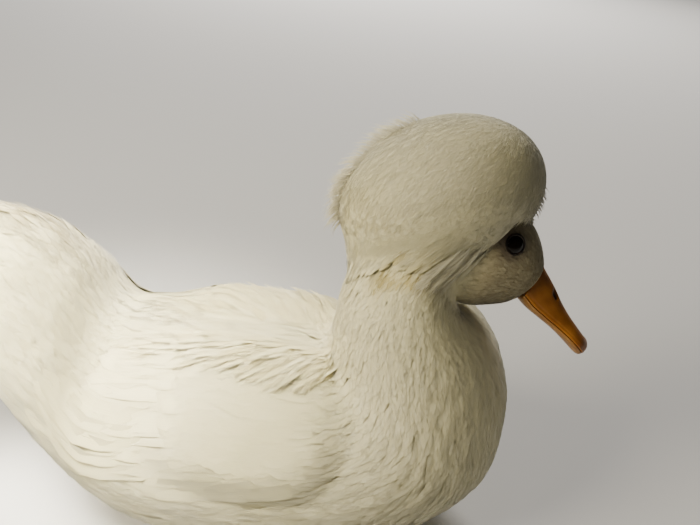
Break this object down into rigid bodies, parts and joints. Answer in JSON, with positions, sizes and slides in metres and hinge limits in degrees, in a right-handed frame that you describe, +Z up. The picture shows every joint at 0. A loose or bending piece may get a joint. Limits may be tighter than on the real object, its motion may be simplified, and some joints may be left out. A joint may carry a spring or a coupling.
{
  "type": "crested duck model",
  "caption": "Life-size still model of a white crested duck resting on its belly, head turned and tilted, with a globe crest, folded wings and raised tail.",
  "frame": {"origin": "centre of the belly's flat resting face, on the floor", "axes": "+X towards the duck's breast and bill, +Y to the duck's left, +Z up"},
  "size_m": [0.4261, 0.1832, 0.2647],
  "materials": {
    "plumage": "soft matt white body feathers with a cream cast",
    "crest_plumage": "soft matt white crest feathers with a cream cast",
    "wing_plumage": "smooth white wing feathers with a slight sheen",
    "tail_plumage": "smooth white tail feathers with a slight sheen",
    "bill": "satin orange bill skin",
    "bill_lower": "satin pale orange bill skin",
    "eye": "wet gloss, near black",
    "foot_skin": "satin scaly orange skin",
    "claw": "semi-gloss pale horn"
  },
  "bodies": {
    "root": {"torso": "plumage", "neck": "plumage", "head": "plumage", "crest": "crest_plumage", "wing_left": "wing_plumage", "wing_right": "wing_plumage", "tail": "tail_plumage", "leg_left": "plumage", "leg_right": "plumage", "bill_upper": "bill", "bill_lower": "bill_lower", "eye_left": "eye", "eye_right": "eye", "foot_left": "foot_skin", "foot_right": "foot_skin", "claw_inner_left": "claw", "claw_middle_left": "claw", "claw_outer_left": "claw", "claw_hind_left": "claw", "claw_inner_right": "claw", "claw_middle_right": "claw", "claw_outer_right": "claw", "claw_hind_right": "claw"}
  },
  "joints": []
}
